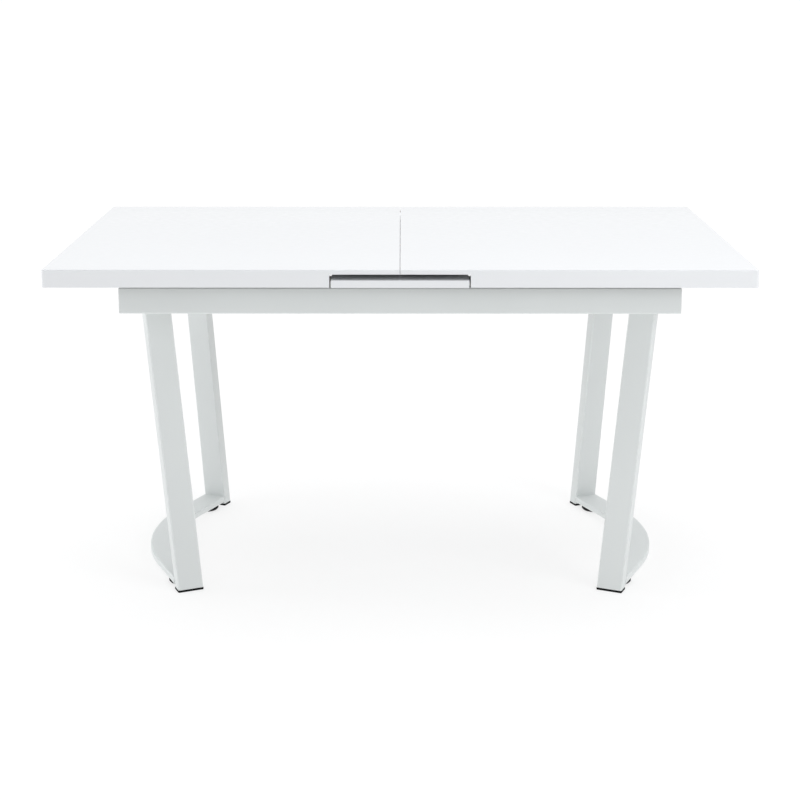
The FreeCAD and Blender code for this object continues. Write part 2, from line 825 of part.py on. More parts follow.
def rack_outline():
    """Front rack: gap at x = 0, teeth towards +Y, pitch line at -PITCH_R."""
    module = gear_module.value
    left = -bracket_start.value - bracket_length.value
    right = slide_travel.value + rack_overrun.value
    pitch_y = -PITCH_R.value
    tip_y = pitch_y + module
    root_y = pitch_y - 1.25 * module
    back_y = pitch_y - rack_back.value
    half = PITCH / 4 - 0.1
    lean = math.tan(PRESSURE)
    points = [(left, back_y), (right, back_y), (right, root_y)]
    first = int(math.floor((right - 6) / PITCH))
    last = int(math.ceil(-24 / PITCH))
    for number in range(first, last, -1):
        middle = (number - 0.5) * PITCH
        wide = half + lean * (pitch_y - root_y)
        slim = half - lean * module
        points += [(middle + wide, root_y), (middle + slim, tip_y)]
        points += [(middle - slim, tip_y), (middle - wide, root_y)]
    points += [(left, root_y), (left, back_y)]
    return [FreeCAD.Vector(x, y, RACK_LOW.value) for x, y in points]


height = FreeCAD.Vector(0, 0, gear_height.value)
wheel = Part.Face(Part.makePolygon(pinion_outline())).extrude(height)
hub_low = RACK_LOW.value - 0.8
hub = upright(0, 0, hub_low, RACK_LOW.value + 1, 10.0)
wheel = wheel.fuse(hub).removeSplitter()
wheel = wheel.cut(upright(0, 0, hub_low - 1, RACK_LOW.value + gear_height.value + 1, 4.3))
pinion = doc.addObject("Part::Feature", "sync_pinion")
pinion.Shape = wheel
keep("sync_pinion", pinion)

rack = doc.addObject("Part::Feature", "left_sync_rack")
rack.Shape = Part.Face(Part.makePolygon(rack_outline())).extrude(height)
keep("left_sync_rack", rack)


# ---------------------------------------------------------------- top halves
def rail_screws():
    """Screw spots (x, y, sheet under the head) of the left half's rails."""
    spots = []
    off = (runner_flange + runner_web) / 4 + 1
    for sy in (-1, 1):
        for x in (runner_start + 30, (runner_start + runner_end) / 2, runner_end - 30):
            for way in (-1, 1):
                spots.append((-x, sy * slide_offset + way * off, runner_sheet))
    return spots


def bracket_screws():
    y = -(PITCH_R + rack_back + bracket_flange / 2 + sheet_metal)
    step = bracket_length / 4
    return [(-(bracket_start + k * step), y, sheet_metal) for k in (1, 3)]


def ledge_screws():
    spots = []
    for row in LEDGE_ROWS:
        for x in (-30.0, -50.0):
            spots.append((dim(x), row, sheet_metal))
    return spots


SCREWS = rail_screws() + bracket_screws() + ledge_screws()
SLAB_Z = SLAB_LOW.value


def make_half(side, turn):
    """Build every piece of one half; the right half is the left one turned."""
    body = new_body(side + "_top_panel")
    blank = sketch_on(body, "XY_Plane", side + "_blank")
    inner = -seam_gap / 2
    outer = -top_length / 2
    half_y = top_width / 2
    outline(blank, rectangle(outer, -half_y, inner, half_y))
    solid = add(body, blank, edge_height)
    high = edge_height.value - 0.1

    def rounded(edge):
        box = edge.BoundBox
        at_top = box.ZMin > high
        at_seam = box.XMin > -1.0
        return at_top and not at_seam

    def upright_corner(edge):
        box = edge.BoundBox
        return box.ZLength > high and box.XMax < -1.0

    solid = soften(body, solid, corner_round, upright_corner, side + "_corner")
    soften(body, solid, edge_round, rounded, side + "_edge")
    recess = sketch_on(body, "XY_Plane", side + "_recess")
    notch = -notch_width / 2
    outline(recess, [
        (outer + rim_width, -half_y + rim_width),
        (notch, -half_y + rim_width),
        (notch, -half_y - 1),
        (inner + 1, -half_y - 1),
        (inner + 1, half_y + 1),
        (notch, half_y + 1),
        (notch, half_y - rim_width),
        (outer + rim_width, half_y - rim_width),
    ])
    depth = edge_height - slab_thickness
    cut = take(body, recess, depth, side + "_routing", upward=True)
    level = depth.value

    def notch_corner(edge):
        box = edge.BoundBox
        flat_edge = box.ZLength < 0.01 and abs(box.ZMin - level) < 0.01
        at_notch = abs(box.XMin - notch.value) < 0.01 and box.XLength < 0.01
        return flat_edge and at_notch

    soften(body, cut, notch_round, notch_corner, side + "_notch_round")
    seam = sketch_on(body, "YZ_Plane", side + "_seam_holes", inner)
    level_y = edge_height - dowel_drop
    for row, way in zip(DOWEL_ROWS, (-1, 1)):
        ring(seam, way * row, level_y, dowel_diameter / 2)
        ring(seam, -way * row, level_y, dowel_diameter / 2 + dowel_play)
    take(body, seam, dowel_depth, side + "_seam_boring")
    pilots = sketch_on(body, "XY_Plane", side + "_pilots", depth)
    for x, y, flange in SCREWS:
        ring(pilots, x, y, screw_shank / 2)
    take(body, pilots, screw_reach, side + "_piloting", upward=True)
    place(body, (0, 0, RIM_LOW))
    if turn:
        body.Placement.Rotation = FreeCAD.Rotation(FreeCAD.Vector(0, 0, 1), 180)

    screws = []
    for x, y, flange in SCREWS:
        spot = (x.value, y.value)
        low = SLAB_Z - flange.value
        shank = upright(*spot, low, SLAB_Z + screw_reach.value, screw_shank.value / 2)
        head = upright(*spot, low - 2, low, screw_head.value / 2)
        screws.append(spin(shank.fuse(head).removeSplitter(), turn))
    group(side + "_screws", screws)

    pegs = []
    sunk = inner.value - dowel_depth.value
    along = FreeCAD.Vector(1, 0, 0)
    for row, way in zip(DOWEL_ROWS, (-1, 1)):
        low = table_height.value - dowel_drop.value
        start = FreeCAD.Vector(sunk, way * row.value, low)
        length = dowel_depth.value + dowel_reach.value
        peg = Part.makeCylinder(dowel_diameter.value / 2, length, start, along)
        pegs.append(spin(peg, turn))
    group(side + "_dowels", pegs)

    ledges = []
    thick = sheet_metal.value
    z1 = LEDGE_TOP.value
    out = ledge_reach.value
    for row in LEDGE_ROWS:
        low_y = row.value - ledge_width.value / 2
        profile = [
            (-60.0, SLAB_Z - thick),
            (-60.0, SLAB_Z),
            (-12.0, SLAB_Z),
            (-12.0, z1),
            (out, z1),
            (out, z1 - thick),
            (-12.0 - thick, z1 - thick),
            (-12.0 - thick, SLAB_Z - thick),
            (-60.0, SLAB_Z - thick),
        ]
        wire = [FreeCAD.Vector(x, low_y, z) for x, z in profile]
        face = Part.Face(Part.makePolygon(wire))
        piece = face.extrude(FreeCAD.Vector(0, ledge_width.value, 0))
        for x, y, flange in ledge_screws():
            if abs(y.value - row.value) < 1:
                hole = upright(x.value, y.value, SLAB_Z - 9, SLAB_Z + 1, 2.1)
                piece = piece.cut(hole)
        ledges.append(spin(piece, turn))
    group(side + "_leaf_ledges", ledges)

    skates = []
    for sy in (-1, 1):
        for x in (runner_start.value + 5, skate_outer.value):
            low = FreeCAD.Vector(
                -x - skate_length.value,
                sy * slide_offset.value - skate_width.value / 2,
                skate_low.value,
            )
            dims = (skate_length.value, skate_width.value, skate_height.value)
            skates.append(spin(Part.makeBox(*dims, low), turn))
    group(side + "_slide_skates", skates)


def make_left_metal():
    """Moving rails, rack bracket and batten of the left half."""
    skate_top = skate_low + skate_height
    for sy, where in ((-1, "front"), (1, "rear")):
        name = "left_%s_slide_rail" % where
        low_x = -runner_end
        mid_y = sy * slide_offset
        flange = block(
            name + "_flange",
            (low_x, mid_y - runner_flange / 2, SLAB_LOW - runner_sheet),
            (runner_length, runner_flange, runner_sheet),
        )
        web = block(
            name + "_web",
            (low_x, mid_y - runner_web / 2, skate_top),
            (runner_length, runner_web, SLAB_LOW - runner_sheet - skate_top),
        )
        profile = join(name + "_profile", flange, web)
        holes = []
        for number, (x, y, sheet_z) in enumerate(rail_screws()):
            if y.value * sy > 0:
                spot = (x, y, SLAB_LOW - 5)
                tag = "%s_hole_%d" % (name, number)
                holes.append(rod(tag, spot, screw_shank / 2 + 0.1, 8))
        keep(name, less(name, profile, *holes))

    name = "left_rack_bracket"
    back = -PITCH_R - rack_back
    low_x = -bracket_start - bracket_length
    web = block(
        name + "_web",
        (low_x, back - sheet_metal, RACK_LOW),
        (bracket_length, sheet_metal, SLAB_LOW - RACK_LOW),
    )
    flange = block(
        name + "_flange",
        (low_x, back - sheet_metal - bracket_flange, SLAB_LOW - sheet_metal),
        (bracket_length, bracket_flange + sheet_metal, sheet_metal),
    )
    profile = join(name + "_profile", web, flange)
    holes = []
    for number, (x, y, sheet_z) in enumerate(bracket_screws()):
        spot = (x, y, SLAB_LOW - 6)
        tag = "%s_hole_%d" % (name, number)
        holes.append(rod(tag, spot, screw_shank / 2 + 0.1, 8))
    keep(name, less(name, profile, *holes))

    half_y = slide_offset - runner_flange / 2 - 3 * batten_gap
    batten = block(
        "left_batten",
        (low_x - batten_width - batten_gap, -half_y, SLAB_LOW - batten_height),
        (batten_width, 2 * half_y, batten_height),
    )
    keep("left_batten", batten)


make_half("left", False)
make_half("right", True)
make_left_metal()
doc.recompute()
for name in ("front_slide_rail", "rear_slide_rail", "rack_bracket", "batten", "sync_rack"):
    turned("right_" + name, parts["left_" + name])
# Half a turn swaps front and rear, so the two right rails trade names.
front = parts["right_rear_slide_rail"]
rear = parts["right_front_slide_rail"]
keep("right_front_slide_rail", front)
keep("right_rear_slide_rail", rear)


# ---------------------------------------------------------------- leaf
body = new_body("leaf_panel")
blank = sketch_on(body, "XY_Plane", "leaf_blank")
outline(blank, rectangle(-leaf_width / 2, -top_width / 2, leaf_width / 2, top_width / 2))
solid = add(body, blank, leaf_thickness)
thick = leaf_thickness.value
soften(
    body,
    solid,
    edge_round / 2,
    lambda e: e.BoundBox.ZMin > thick - 0.1 and e.BoundBox.YLength < 1,
    "leaf_edge",
)
for way in (-1, 1):
    holes = sketch_on(body, "YZ_Plane", "leaf_bores_%d" % (way + 1), way * leaf_width / 2)
    for row, sign in zip(DOWEL_ROWS, (1, -1)):
        level_y = leaf_thickness - dowel_drop
        ring(holes, way * sign * row, level_y, dowel_diameter / 2 + dowel_play)
    take(body, holes, dowel_depth, "leaf_boring_%d" % (way + 1), upward=(way < 0))
place(body, (0, 0, LEAF_LOW))

doc.recompute()


# ---------------------------------------------------------------- checks, files
problems = []
for item in doc.Objects:
    for word in ("Invalid", "Error"):
        if word in item.State:
            problems.append("%s is %s" % (item.Label, word))
for label, item in parts.items():
    shape = item.Shape
    if shape.isNull() or not shape.isValid() or not shape.Solids:
        problems.append("%s has no valid solid" % label)
if problems:
    raise RuntimeError("; ".join(problems))

os.makedirs("parts", exist_ok=True)
for label in sorted(parts):
    parts[label].Shape.exportStep(os.path.join("parts", label + ".step"))
print("wrote %d parts" % len(parts))
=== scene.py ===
"""Looks of the extendable dining table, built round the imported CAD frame."""

import json
import math

import bmesh
import bpy
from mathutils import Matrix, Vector


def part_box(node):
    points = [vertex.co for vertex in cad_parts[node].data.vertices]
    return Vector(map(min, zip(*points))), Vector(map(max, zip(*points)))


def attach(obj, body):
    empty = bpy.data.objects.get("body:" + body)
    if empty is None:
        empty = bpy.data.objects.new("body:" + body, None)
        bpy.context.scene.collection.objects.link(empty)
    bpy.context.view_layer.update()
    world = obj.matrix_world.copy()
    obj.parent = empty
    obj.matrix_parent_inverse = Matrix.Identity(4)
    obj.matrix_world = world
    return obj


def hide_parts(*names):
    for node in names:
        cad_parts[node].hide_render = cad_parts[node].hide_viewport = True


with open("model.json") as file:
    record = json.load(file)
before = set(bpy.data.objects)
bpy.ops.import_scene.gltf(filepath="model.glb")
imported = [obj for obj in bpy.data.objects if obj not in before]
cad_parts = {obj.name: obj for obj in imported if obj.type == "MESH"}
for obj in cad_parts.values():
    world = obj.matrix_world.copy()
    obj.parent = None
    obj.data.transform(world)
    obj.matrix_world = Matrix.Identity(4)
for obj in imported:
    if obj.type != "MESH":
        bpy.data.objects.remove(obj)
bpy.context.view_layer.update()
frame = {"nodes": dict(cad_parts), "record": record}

MM = 0.001
record = frame["record"]
BODY_OF = {
    node: body
    for body, members in record["behaviour"]["bodies"].items()
    for node in members
}
SLOT_OF = {part["node"]: part["material_slot"] for part in record["subparts"]}


# ---------------------------------------------------------------- node helpers
class Recipe:
    """A Principled material whose inputs are fed by procedural nodes."""

    def __init__(self, name):
        self.material = bpy.data.materials.new(name)
        self.material.use_nodes = True
        self.tree = self.material.node_tree
        self.tree.nodes.clear()
        self.output = self.tree.nodes.new("ShaderNodeOutputMaterial")
        self.shader = self.tree.nodes.new("ShaderNodeBsdfPrincipled")
        self.join(self.shader.outputs["BSDF"], self.output.inputs["Surface"])
        self.place = self.tree.nodes.new("ShaderNodeTexCoord").outputs["Object"]

    def join(self, out, into):
        self.tree.links.new(out, into)

    def set(self, **values):
        for key, value in values.items():
            self.shader.inputs[key.replace("_", " ")].default_value = value

    def stretch(self, scale):
        node = self.tree.nodes.new("ShaderNodeMapping")
        node.inputs["Scale"].default_value = scale
        self.join(self.place, node.inputs["Vector"])
        return node.outputs["Vector"]

    def noise(self, scale, detail=3.0, rough=0.5, vector=None, distortion=0.0):
        node = self.tree.nodes.new("ShaderNodeTexNoise")
        node.inputs["Scale"].default_value = scale
        node.inputs["Detail"].default_value = detail
        node.inputs["Roughness"].default_value = rough
        node.inputs["Distortion"].default_value = distortion
        self.join(vector or self.place, node.inputs["Vector"])
        return node.outputs["Fac"]

    def cells(self, scale):
        node = self.tree.nodes.new("ShaderNodeTexVoronoi")
        node.feature = "F1"
        node.inputs["Scale"].default_value = scale
        self.join(self.place, node.inputs["Vector"])
        return node.outputs["Distance"]

    def remap(self, value, low, high, to_low, to_high):
        node = self.tree.nodes.new("ShaderNodeMapRange")
        node.inputs["From Min"].default_value = low
        node.inputs["From Max"].default_value = high
        node.inputs["To Min"].default_value = to_low
        node.inputs["To Max"].default_value = to_high
        self.join(value, node.inputs["Value"])
        return node.outputs["Result"]

    def ramp(self, value, stops):
        node = self.tree.nodes.new("ShaderNodeValToRGB")
        ramp = node.color_ramp
        while len(ramp.elements) < len(stops):
            ramp.elements.new(0.5)
        for element, (position, colour) in zip(ramp.elements, stops):
            element.position = position
            element.color = (*colour, 1.0)
        self.join(value, node.inputs["Fac"])
        return node.outputs["Color"]

    def sum(self, one, other, share):
        """one + share * other"""
        node = self.tree.nodes.new("ShaderNodeMath")
        node.operation = "MULTIPLY_ADD"
        self.join(other, node.inputs[0])
        node.inputs[1].default_value = share
        self.join(one, node.inputs[2])
        return node.outputs["Value"]

    def colour(self, out):
        self.join(out, self.shader.inputs["Base Color"])

    def roughness(self, out):
        self.join(out, self.shader.inputs["Roughness"])

    def bump(self, height, distance, strength):
        node = self.tree.nodes.new("ShaderNodeBump")
        node.inputs["Distance"].default_value = distance
        node.inputs["Strength"].default_value = strength
        self.join(height, node.inputs["Height"])
        self.join(node.outputs["Normal"], self.shader.inputs["Normal"])


def shade(colour, factor):
    return tuple(min(channel * factor, 1.0) for channel in colour)


# ---------------------------------------------------------------- materials
def gloss_lacquer(name, colour, rough):
    """Sprayed white lacquer: faint orange peel, rubbed-out swirls, clear coat."""
    it = Recipe(name)
    cloud = it.noise(3.2, 2.0)
    stops = [(0.3, shade(colour, 0.985)), (0.7, colour)]
    it.colour(it.ramp(cloud, stops))
    rub = it.noise(46.0, 6.0, 0.62, it.stretch((1.0, 2.6, 1.0)))
    it.roughness(it.remap(rub, 0.35, 0.7, rough, rough + 0.07))
    peel = it.sum(it.noise(420.0, 2.0), it.noise(95.0, 2.0), 1.6)
    it.bump(peel, 0.00003, 0.35)
    it.set(Coat_Weight=0.35, Coat_Roughness=0.05, Specular_IOR_Level=0.5)
    return it.material


def primer(name, colour):
    """Routed fibreboard under a thin matt coat: cutter marks and fibres."""
    it = Recipe(name)
    fibre = it.noise(240.0, 5.0, 0.7)
    stops = [(0.32, shade(colour, 0.94)), (0.68, colour)]
    it.colour(it.ramp(fibre, stops))
    it.roughness(it.remap(fibre, 0.3, 0.7, 0.55, 0.75))
    it.bump(fibre, 0.00006, 0.5)
    return it.material


def powder_coat(name, colour):
    """Baked powder: fine leathery grain, tiny pits, slight tone drift."""
    it = Recipe(name)
    drift = it.noise(2.4, 3.0)
    grain = it.cells(850.0)
    speck = it.noise(1500.0, 2.0, 0.6)
    tone = it.sum(drift, speck, 0.22)
    stops = [(0.42, shade(colour, 0.965)), (0.74, shade(colour, 1.015))]
    it.colour(it.ramp(tone, stops))
    it.roughness(it.remap(grain, 0.0, 0.8, 0.36, 0.48))
    texture = it.sum(it.noise(620.0, 3.0, 0.55), grain, 0.6)
    it.bump(texture, 0.00005, 0.4)
    it.set(Specular_IOR_Level=0.5)
    return it.material


def zinc(name, colour):
    """Zinc plate on rolled sheet: spangle, rolling lines, a dull bloom."""
    it = Recipe(name)
    spangle = it.cells(95.0)
    bloom = it.noise(26.0, 4.0, 0.6)
    tone = it.sum(bloom, spangle, 0.35)
    stops = [(0.35, shade(colour, 0.8)), (0.6, colour), (0.9, shade(colour, 1.12))]
    it.colour(it.ramp(tone, stops))
    lines = it.noise(900.0, 2.0, 0.5, it.stretch((0.03, 1.0, 1.0)))
    it.roughness(it.remap(it.sum(lines, bloom, 0.6), 0.4, 1.1, 0.28, 0.46))
    it.bump(lines, 0.00002, 0.3)
    it.set(Metallic=0.9)
    return it.material


def extrusion(name, colour):
    """Mill-finish aluminium: die lines along the profile."""
    it = Recipe(name)
    lines = it.noise(1300.0, 3.0, 0.6, it.stretch((0.012, 1.0, 1.0)))
    cloud = it.noise(14.0, 3.0)
    tone = it.sum(cloud, lines, 0.3)
    it.colour(it.ramp(tone, [(0.4, shade(colour, 0.9)), (0.9, colour)]))
    it.roughness(it.remap(lines, 0.3, 0.7, 0.25, 0.4))
    it.bump(lines, 0.00002, 0.4)
    it.set(Metallic=1.0)
    return it.material


def bright_steel(name, colour):
    """Bright fastener steel: fine handling marks."""
    it = Recipe(name)
    wear = it.noise(320.0, 4.0, 0.6)
    it.colour(it.ramp(wear, [(0.3, shade(colour, 0.75)), (0.7, colour)]))
    it.roughness(it.remap(wear, 0.3, 0.7, 0.24, 0.42))
    it.bump(wear, 0.00002, 0.3)
    it.set(Metallic=1.0)
    return it.material


def nylon(name, colour):
    """Natural nylon: waxy, slightly translucent, faint mould texture."""
    it = Recipe(name)
    cloud = it.noise(60.0, 3.0)
    it.colour(it.ramp(cloud, [(0.3, shade(colour, 0.95)), (0.7, colour)]))
    it.roughness(it.remap(cloud, 0.3, 0.7, 0.38, 0.5))
    it.bump(it.noise(900.0, 2.0), 0.00002, 0.3)
    it.set(Subsurface_Weight=0.15, Subsurface_Scale=0.002)
    return it.material


def black_plastic(name, colour):
    """Moulded polyethylene foot: spark-eroded grain, scuffs near the floor."""
    it = Recipe(name)
    grain = it.cells(1400.0)
    scuff = it.noise(180.0, 5.0, 0.7, it.stretch((1.0, 1.0, 3.0)))
    stops = [(0.35, colour), (0.8, shade(colour, 1.8))]
    it.colour(it.ramp(scuff, stops))
    it.roughness(it.remap(scuff, 0.3, 0.7, 0.5, 0.7))
    it.bump(grain, 0.00005, 0.5)
    it.set(Specular_IOR_Level=0.12)
    return it.material


def felt(name, colour):
    """Needled felt: matted fibres of several greys."""
    it = Recipe(name)
    fibre = it.noise(1100.0, 6.0, 0.75, it.stretch((1.0, 0.35, 1.0)), 1.5)
    matt = it.noise(160.0, 4.0, 0.6)
    tone = it.sum(fibre, matt, 0.4)
    stops = [(0.45, shade(colour, 0.55)), (0.7, colour), (0.95, shade(colour, 1.7))]
    it.colour(it.ramp(tone, stops))
    it.bump(tone, 0.0003, 0.9)
    it.set(Roughness=0.95, Sheen_Weight=0.4)
    return it.material


def beech(name, colour, along):
    """Planed beech: growth figure, short dark rays, open end grain."""
    it = Recipe(name)
    squeeze = tuple(0.08 if axis == along else 1.0 for axis in range(3))
    figure = it.noise(42.0, 5.0, 0.6, it.stretch(squeeze), 0.6)
    flecks = it.noise(900.0, 2.0, 0.7, it.stretch(tuple(s + 0.02 for s in squeeze)))
    tone = it.sum(figure, flecks, 0.3)
    stops = [(0.42, shade(colour, 0.72)), (0.62, colour), (0.9, shade(colour, 1.2))]
    it.colour(it.ramp(tone, stops))
    it.roughness(it.remap(figure, 0.3, 0.7, 0.5, 0.66))
    it.bump(flecks, 0.00006, 0.5)
    return it.material


def worn_edge_with_painted_highlight(name, colour, lighter, rough, metal=0.0):
    """Edge finish lighter than the face: partly a thin, rubbed coat, partly a painted
    highlight along the edge; patchy and a little polished.
    """
    it = Recipe(name)
    patch = it.sum(it.noise(75.0, 5.0, 0.65), it.noise(520.0, 3.0), 0.35)
    it.colour(it.ramp(patch, [(0.5, colour), (0.85, lighter)]))
    it.roughness(it.remap(patch, 0.45, 0.9, rough + 0.12, rough))
    it.bump(patch, 0.00003, 0.3)
    it.set(Metallic=metal)
    return it.material


WHITE = (0.855, 0.868, 0.885)
GREY = (0.752, 0.780, 0.774)
LACQUER = gloss_lacquer("white_gloss_lacquer", WHITE, 0.12)
LEAF_LACQUER = gloss_lacquer("white_leaf_lacquer", WHITE, 0.2)
# Dark grey for the boards' lower faces: sealed fibreboard in part, painted shade under the
# rim in part.
SHADE_DARK_PRIMER = primer("fibreboard_dark_for_shade", (0.33, 0.33, 0.325))
RECESS = primer("recess_paint", (0.74, 0.75, 0.76))
FINISH = {
    "top_lacquer": LACQUER,
    "frame_powder_coat": powder_coat("grey_powder_coat", GREY),
    "zinc_plated_steel": zinc("zinc_plate", (0.62, 0.64, 0.66)),
    "slide_aluminium": extrusion("mill_aluminium", (0.80, 0.81, 0.82)),
    "natural_nylon": nylon("natural_nylon", (0.80, 0.78, 0.71)),
    "black_plastic": black_plastic("black_polyethylene", (0.004, 0.004, 0.0045)),
    "felt": felt("grey_felt", (0.16, 0.16, 0.165)),
    "beech": beech("planed_beech", (0.60, 0.41, 0.24), 1),
    "bolt_steel": bright_steel("bright_fastener", (0.56, 0.56, 0.58)),
}
# Edge finishes, mostly lighter than the faces: part wear, part painted highlight on the
# rounded edges.
EDGE_WEAR_AND_HIGHLIGHT = {
    "top_lacquer": worn_edge_with_painted_highlight("lacquer_edge", shade(WHITE, 0.99), WHITE, 0.12),
    "frame_powder_coat": worn_edge_with_painted_highlight("coat_edge", GREY, shade(GREY, 1.07), 0.3),
    "zinc_plated_steel": worn_edge_with_painted_highlight("zinc_edge", (0.5,) * 3, (0.78,) * 3, 0.22, 0.95),
    "slide_aluminium": worn_edge_with_painted_highlight("aluminium_edge", (0.7,) * 3, (0.9,) * 3, 0.2, 1.0),
    "natural_nylon": worn_edge_with_painted_highlight("nylon_edge", (0.76, 0.74, 0.67), (0.85, 0.84, 0.79), 0.36),
    "black_plastic": worn_edge_with_painted_highlight("plastic_edge", (0.006,) * 3, (0.014,) * 3, 0.5),
    "beech": worn_edge_with_painted_highlight("beech_edge", (0.43, 0.28, 0.15), (0.66, 0.47, 0.29), 0.5),
    "bolt_steel": worn_edge_with_painted_highlight("fastener_edge", (0.45,) * 3, (0.75,) * 3, 0.2, 1.0),
}


# ---------------------------------------------------------------- mesh helpers
MERGE_GAP = 0.002 * MM  # vertices nearer than this are one
FLAT_ANGLE = math.radians(0.4)  # facets within this lie in one plane
SHARP_ANGLE = math.radians(35.0)  # edges above this are rounded
BEVEL_SEGMENTS = 3
CORNER_LENGTH = 20.0 * MM  # a tube's rounded corner has facets longer
CORNER_WIDTH = 2.3 * MM  # and slimmer than these


def new_piece(name, mesh, node_like):
    """Put a mesh in the scene so that it rides as the given CAD node does."""
    piece = bpy.data.objects.new(name, mesh)
    bpy.context.scene.collection.objects.link(piece)
    mesh.materials.append(FINISH[SLOT_OF[node_like]])
    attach(piece, BODY_OF[node_like])
    return piece


def mark_round_corners(mesh):
    """Give the long slim facets of a tube's rounded corners the lighter edge finish: part
    wear, part painted highlight.
    """
    for face in mesh.polygons:
        spans = [
            (mesh.vertices[a].co - mesh.vertices[b].co).length
            for a, b in face.edge_keys
        ]
        longest = max(spans)
        if longest > CORNER_LENGTH and face.area / longest < CORNER_WIDTH:
            face.material_index = 1


def soften(piece, width):
    """Smooth shading with small rounded edges that catch the light."""
    piece.data.shade_smooth()
    piece.data.set_sharp_from_angle(angle=SHARP_ANGLE)
    bevel = piece.modifiers.new("edges", "BEVEL")
    bevel.width = width
    bevel.segments = BEVEL_SEGMENTS
    bevel.limit_method = "ANGLE"
    bevel.angle_limit = SHARP_ANGLE
    bevel.use_clamp_overlap = True
    bevel.harden_normals = True
    # The bevel faces take the lighter edge finish, in part a painted highlight.
    if len(piece.data.materials) > 1:
        bevel.material = 1


def merged(node):
    """An editable copy of a CAD node's mesh, its shared vertices merged."""
    form = bmesh.new()
    form.from_mesh(frame["nodes"][node].data)
    bmesh.ops.remove_doubles(form, verts=form.verts, dist=MERGE_GAP)
    return form


def refine(node, width):
    """A cleaned, softened copy of a CAD node that stands in its place."""
    mesh = bpy.data.meshes.new(node + "_skin")
    form = merged(node)
    bmesh.ops.dissolve_limit(
        form, angle_limit=FLAT_ANGLE, verts=form.verts, edges=form.edges
    )
    form.to_mesh(mesh)
    form.free()
    mesh.materials.clear()
    piece = new_piece(node + "_skin", mesh, node)
    # The edge finish is lighter: part wear, part painted highlight.
    edge_wear_and_highlight = EDGE_WEAR_AND_HIGHLIGHT.get(SLOT_OF[node])
    if edge_wear_and_highlight:
        mesh.materials.append(edge_wear_and_highlight)
        mark_round_corners(mesh)
    soften(piece, width)
    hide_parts(node)
    return piece


def islands(node):
    """(low, high) corners of every separate solid of a node."""
    form = merged(node)
    seen = set()
    boxes = []
    for start in form.verts:
        if start.index in seen:
            continue
        stack = [start]
        seen.add(start.index)
        found = []
        while stack:
            vert = stack.pop()
            found.append(vert.co.copy())
            for edge in vert.link_edges:
                other = edge.other_vert(vert)
                if other.index not in seen:
                    seen.add(other.index)
                    stack.append(other)
        low = Vector(min(co[axis] for co in found) for axis in range(3))
        high = Vector(max(co[axis] for co in found) for axis in range(3))
        boxes.append((low, high))
    form.free()
    return sorted(boxes, key=lambda pair: tuple(round(v, 5) for v in pair[0]))


# ---------------------------------------------------------------- camera, light
CAMERA_PLACE = (0.0022, -3.8996, 1.4029)
CAMERA_PITCH = math.radians(11.473)
CAMERA_YAW = 0.00225
CAMERA_SHIFT = (0.0033, -0.129)
LENS_MM = 75.71
SENSOR_MM = 36.0
FAR_CLIP = 200.0

view = bpy.data.cameras.new("view")
view.lens = LENS_MM
view.sensor_width = SENSOR_MM
view.shift_x, view.shift_y = CAMERA_SHIFT
view.clip_end = FAR_CLIP
camera = bpy.data.objects.new("view", view)
camera.location = CAMERA_PLACE
camera.rotation_euler = (math.pi / 2 - CAMERA_PITCH, 0.0, CAMERA_YAW)
bpy.context.scene.collection.objects.link(camera)
bpy.context.scene.camera = camera
bpy.context.scene.view_settings.view_transform = "Standard"

FRONT_WALL = 0.29
REAR_WALL = 0.92
WALL_TINT = (0.985, 0.99, 1.0, 1.0)
WALL_BLEND = (-0.35, 0.65)  # share of the depth axis where one wall turns into the other

world = bpy.data.worlds.new("studio")
world.use_nodes = True
bpy.context.scene.world = world


def light_studio_walls(tree, front, rear):
    """A dim wall in front of the table blends into a bright paper wall behind.

    The walls only light the table: what is seen past the floor is plain white.
    """
    sky = tree.nodes["Background"]
    sky.inputs["Color"].default_value = WALL_TINT
    ways = tree.nodes.new("ShaderNodeTexCoord")
    split = tree.nodes.new("ShaderNodeSeparateXYZ")
    blend = tree.nodes.new("ShaderNodeMapRange")
    blend.interpolation_type = "SMOOTHSTEP"
    blend.inputs["From Min"].default_value = WALL_BLEND[0]
    blend.inputs["From Max"].default_value = WALL_BLEND[1]
    blend.inputs["To Min"].default_value = front
    blend.inputs["To Max"].default_value = rear
    tree.links.new(ways.outputs["Generated"], split.inputs["Vector"])
    tree.links.new(split.outputs["Y"], blend.inputs["Value"])
    seen = tree.nodes.new("ShaderNodeLightPath")
    paper_wall = tree.nodes.new("ShaderNodeMath")
    paper_wall.operation = "MAXIMUM"
    tree.links.new(blend.outputs["Result"], paper_wall.inputs[0])
    tree.links.new(seen.outputs["Is Camera Ray"], paper_wall.inputs[1])
    tree.links.new(paper_wall.outputs["Value"], sky.inputs["Strength"])


light_studio_walls(world.node_tree, FRONT_WALL, REAR_WALL)

SUN_POWER = 1.45
SUN_SPREAD = math.radians(70.0)
BOX_TINT = (0.965, 0.985, 1.0)
SOFT_BOXES = (  # name, place, aim, width, height, power
    ("key_box", (2.5, -2.6, 2.3), (0.0, 0.0, 0.6), 1.8, 1.8, 40.0),
    ("fill_box", (-3.2, -2.4, 1.2), (0.0, 0.0, 0.5), 2.0, 1.8, 4.0),
    ("side_box", (-4.0, -0.4, 1.0), (0.0, 0.0, 0.4), 1.6, 1.6, 34.0),
)


def add_lamp(name, kind, place, aim, power):
    """A lamp that lights the table but is not mirrored in the gloss of its top."""
    lamp = bpy.data.lights.new(name, kind)
    lamp.energy = power
    lamp_object = bpy.data.objects.new(name, lamp)
    lamp_object.location = place
    way = Vector(aim) - Vector(place)
    lamp_object.rotation_euler = way.to_track_quat("-Z", "Y").to_euler()
    lamp_object.visible_glossy = False
    bpy.context.scene.collection.objects.link(lamp_object)
    return lamp


